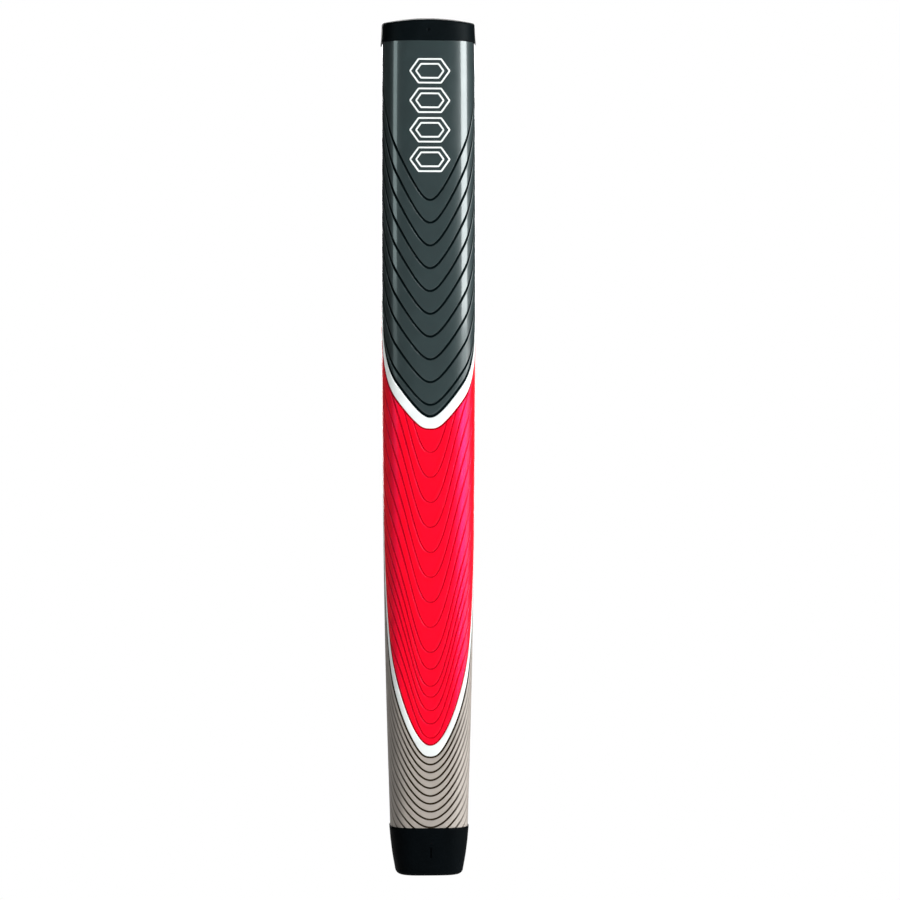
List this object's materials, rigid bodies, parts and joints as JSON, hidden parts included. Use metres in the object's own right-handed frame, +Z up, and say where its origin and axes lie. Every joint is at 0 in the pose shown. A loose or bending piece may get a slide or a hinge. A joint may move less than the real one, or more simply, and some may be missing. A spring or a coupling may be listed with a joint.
{
  "type": "golf putter grip",
  "caption": "Pistol-style putter grip with a flat front face: foam core, felt-backed coloured skin panels, rubber end cap and tip collar.",
  "frame": {"origin": "centre of the shaft bore's mouth, at the open tip end of the grip", "axes": "+Z up the shaft bore to the end cap, -Y out of the flat thumb face, +Y out of the pistol swell, +X to the right of the face"},
  "size_m": [0.0294, 0.0341, 0.2667],
  "materials": {
    "black_rubber": "satin",
    "core_foam": "matte closed-cell foam",
    "backing_felt": "matte felt",
    "charcoal_skin": "satin moulded polymer",
    "white_skin": "satin moulded polymer",
    "red_skin": "satin moulded polymer",
    "taupe_skin": "satin moulded polymer",
    "seam_bead": "satin",
    "white_mark": "painted recess"
  },
  "bodies": {
    "root": {"end_cap": "black_rubber", "tip_collar": "black_rubber", "foam_core": "core_foam", "felt_backing": "backing_felt", "upper_skin": "charcoal_skin", "upper_band": "white_skin", "middle_skin": "red_skin", "lower_band": "white_skin", "lower_skin": "taupe_skin", "back_seam": "seam_bead", "face_mark": "white_mark"}
  },
  "joints": []
}
